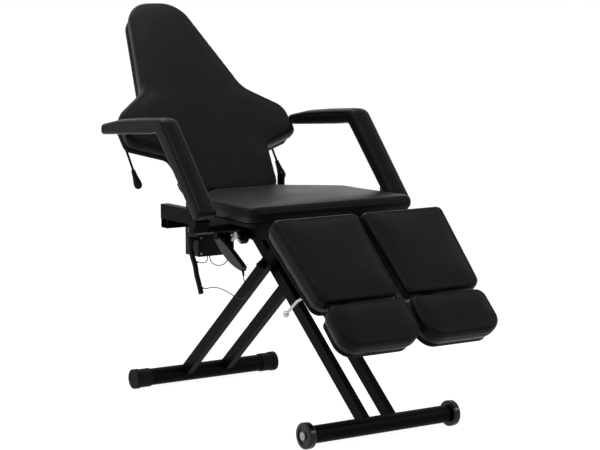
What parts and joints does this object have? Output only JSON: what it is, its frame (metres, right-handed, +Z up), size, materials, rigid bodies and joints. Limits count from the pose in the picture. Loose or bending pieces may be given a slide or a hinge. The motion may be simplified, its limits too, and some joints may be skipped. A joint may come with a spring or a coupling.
{
  "type": "tattoo chair",
  "caption": "Reclining tattoo chair with a scissor lift, split leg rests, sliding foot rests, fold-down armrests and a tapered padded backrest on a black steel frame.",
  "frame": {"origin": "on the floor, below the centre of the whole chair at rest", "axes": "+X at the sitter's left, -Y toward the feet, +Z up"},
  "size_m": [0.822, 1.6682, 1.3104],
  "materials": {
    "leatherette": "black grained leatherette, satin",
    "powder_coat": "black powder coat, satin",
    "bright_steel": "bright chrome",
    "zinc_steel": "zinc-plated, dull bright",
    "black_rubber": "matte black rubber",
    "wheel_rubber": "matte black",
    "black_plastic": "fine matte texture",
    "grey_plastic": "textured mid grey",
    "board_wood": "plywood under black backing cloth",
    "cable_jacket": "smooth black jacket"
  },
  "bodies": {
    "base": {"rear_caps": "black_rubber"},
    "outer_legs": {"rear_tube": "powder_coat", "outer_legs": "powder_coat", "scissor_axle": "zinc_steel", "roller_axle": "zinc_steel"},
    "rollers": {"rollers": "black_plastic"},
    "inner_legs": {"front_tube": "powder_coat", "inner_legs": "powder_coat", "pivot_tube": "powder_coat", "wheel_bolts": "zinc_steel"},
    "wheel_left": {"wheel_left": "wheel_rubber"},
    "wheel_right": {"wheel_right": "wheel_rubber"},
    "lift_frame": {"side_rails": "powder_coat", "rail_plugs": "black_plastic", "seat_cross_tubes": "powder_coat", "rear_crossbar": "powder_coat", "lift_hinge_pin": "zinc_steel", "roller_tracks": "powder_coat", "arm_wing_bolts": "bright_steel", "seat_board": "board_wood", "seat_cushion": "leatherette", "control_box": "black_plastic", "control_box_lid": "black_plastic", "box_screws": "zinc_steel", "mains_inlet": "black_plastic", "handset_clip": "powder_coat", "handset_shell": "grey_plastic", "handset_face": "black_plastic", "handset_relief": "black_rubber", "cable_sleeve": "cable_jacket", "handset_cord": "cable_jacket", "link_cable": "cable_jacket", "loop_cable": "cable_jacket"},
    "actuator_housing": {"actuator_housing": "black_plastic"},
    "actuator_rod": {"actuator_rod": "bright_steel"},
    "backrest": {"back_cushion": "leatherette", "back_board": "board_wood", "back_frame": "powder_coat"},
    "back_spring_cylinder": {"back_spring_cylinder": "powder_coat"},
    "back_spring_rod": {"back_spring_rod": "bright_steel"},
    "release_bar": {"release_bar": "powder_coat", "release_grips": "black_rubber"},
    "armrest_left": {"arm_cushion_left": "leatherette", "arm_bracket_left": "powder_coat"},
    "leg_rest_left": {"calf_cushion_left": "leatherette", "calf_frame_left": "powder_coat"},
    "foot_slider_left": {"foot_slider_left": "powder_coat"},
    "foot_rest_left": {"foot_cushion_left": "leatherette", "foot_frame_left": "powder_coat"},
    "clamp_lever_left": {"clamp_lever_left": "bright_steel"},
    "armrest_right": {"arm_cushion_right": "leatherette", "arm_bracket_right": "powder_coat"},
    "leg_rest_right": {"calf_cushion_right": "leatherette", "calf_frame_right": "powder_coat"},
    "foot_slider_right": {"foot_slider_right": "powder_coat"},
    "foot_rest_right": {"foot_cushion_right": "leatherette", "foot_frame_right": "powder_coat"},
    "clamp_lever_right": {"clamp_lever_right": "bright_steel"},
    "button_up": {"button_up": "black_plastic"},
    "button_down": {"button_down": "black_plastic"}
  },
  "joints": [
    {"name": "lift", "type": "hinge", "parent": "base", "child": "outer_legs", "pos_m": [0, 0.44708, 0.0335], "axis": [-1, 0, 0], "range_deg": [-12, 9]},
    {"name": "scissor_pivot", "type": "hinge", "parent": "outer_legs", "child": "inner_legs", "pos_m": [0, -0.07293, 0.48], "axis": [-1, 0, 0], "range_deg": [-18, 24]},
    {"name": "seat_frame_level", "type": "hinge", "parent": "inner_legs", "child": "lift_frame", "pos_m": [0, 0.05908, 0.59144], "axis": [-1, 0, 0], "range_deg": [-12, 9]},
    {"name": "track_rollers_spin", "type": "hinge", "parent": "outer_legs", "child": "rollers", "pos_m": [0, -0.20492, 0.59334], "axis": [1, 0, 0], "continuous": true},
    {"name": "wheel_left_spin", "type": "hinge", "parent": "inner_legs", "child": "wheel_left", "pos_m": [0, -0.59293, 0.041], "axis": [1, 0, 0], "continuous": true},
    {"name": "wheel_right_spin", "type": "hinge", "parent": "inner_legs", "child": "wheel_right", "pos_m": [0, -0.59293, 0.041], "axis": [1, 0, 0], "continuous": true},
    {"name": "actuator_swing", "type": "hinge", "parent": "lift_frame", "child": "actuator_housing", "pos_m": [0, 0.32908, 0.566], "axis": [1, 0, 0], "range_deg": [-6, 6]},
    {"name": "actuator_stroke", "type": "slide", "parent": "actuator_housing", "child": "actuator_rod", "axis": [0, -0.9956, -0.0942], "range_m": [-0.012, 0.018]},
    {"name": "backrest_recline", "type": "hinge", "parent": "lift_frame", "child": "backrest", "pos_m": [0, 0.23328, 0.668], "axis": [1, 0, 0], "range_deg": [-46.4, 20]},
    {"name": "back_spring_swing", "type": "hinge", "parent": "lift_frame", "child": "back_spring_cylinder", "pos_m": [0, 0.20708, 0.5], "axis": [1, 0, 0], "range_deg": [-30, 20]},
    {"name": "back_spring_stroke", "type": "slide", "parent": "back_spring_cylinder", "child": "back_spring_rod", "axis": [0, 0.5828, 0.8126], "range_m": [-0.08, 0.05]},
    {"name": "release_bar_squeeze", "type": "hinge", "parent": "backrest", "child": "release_bar", "pos_m": [0, 0.47561, 0.82387], "axis": [1, 0, 0], "range_deg": [0, 15], "stiffness_Nm_per_rad": 3, "springref_deg": -11.46},
    {"name": "armrest_left_fold", "type": "hinge", "parent": "lift_frame", "child": "armrest_left", "pos_m": [0.235, -0.15793, 0.598], "axis": [-1, 0, 0], "range_deg": [0, 50]},
    {"name": "leg_rest_left_raise", "type": "hinge", "parent": "lift_frame", "child": "leg_rest_left", "pos_m": [0.161, -0.39992, 0.546], "axis": [-1, 0, 0], "range_deg": [-8, 42.8]},
    {"name": "foot_rest_left_extend", "type": "slide", "parent": "leg_rest_left", "child": "foot_slider_left", "axis": [0, -0.7337, -0.6794], "range_m": [0, 0.15]},
    {"name": "foot_rest_left_tilt", "type": "hinge", "parent": "foot_slider_left", "child": "foot_rest_left", "pos_m": [0.161, -0.66815, 0.3794], "axis": [-1, 0, 0], "range_deg": [-10, 4]},
    {"name": "clamp_lever_left_turn", "type": "hinge", "parent": "leg_rest_left", "child": "clamp_lever_left", "pos_m": [0.2, -0.58157, 0.45957], "axis": [1, 0, 0], "range_deg": [-30, 60]},
    {"name": "armrest_right_fold", "type": "hinge", "parent": "lift_frame", "child": "armrest_right", "pos_m": [-0.235, -0.15793, 0.598], "axis": [-1, 0, 0], "range_deg": [0, 50]},
    {"name": "leg_rest_right_raise", "type": "hinge", "parent": "lift_frame", "child": "leg_rest_right", "pos_m": [-0.161, -0.39992, 0.546], "axis": [-1, 0, 0], "range_deg": [-8, 42.8]},
    {"name": "foot_rest_right_extend", "type": "slide", "parent": "leg_rest_right", "child": "foot_slider_right", "axis": [0, -0.7337, -0.6794], "range_m": [0, 0.15]},
    {"name": "foot_rest_right_tilt", "type": "hinge", "parent": "foot_slider_right", "child": "foot_rest_right", "pos_m": [-0.161, -0.66815, 0.3794], "axis": [-1, 0, 0], "range_deg": [-10, 4]},
    {"name": "clamp_lever_right_turn", "type": "hinge", "parent": "leg_rest_right", "child": "clamp_lever_right", "pos_m": [-0.2, -0.58157, 0.45957], "axis": [1, 0, 0], "range_deg": [-30, 60]},
    {"name": "button_up_press", "type": "slide", "parent": "lift_frame", "child": "button_up", "axis": [-1, 0, 0], "range_m": [0, 0.0015], "stiffness_N_per_m": 400, "springref_m": -0.001},
    {"name": "button_down_press", "type": "slide", "parent": "lift_frame", "child": "button_down", "axis": [-1, 0, 0], "range_m": [0, 0.0015], "stiffness_N_per_m": 400, "springref_m": -0.001}
  ],
  "couplings": [
    {"joint": "scissor_pivot", "follows": "lift", "ratio": -2},
    {"joint": "seat_frame_level", "follows": "lift", "ratio": 1},
    {"joint": "actuator_swing", "follows": "lift", "ratio": -0.18241},
    {"joint": "actuator_stroke", "follows": "lift", "m_per_rad": -0.05237},
    {"joint": "back_spring_swing", "follows": "backrest_recline", "ratio": 0.37157},
    {"joint": "back_spring_stroke", "follows": "backrest_recline", "m_per_rad": 0.091533}
  ]
}
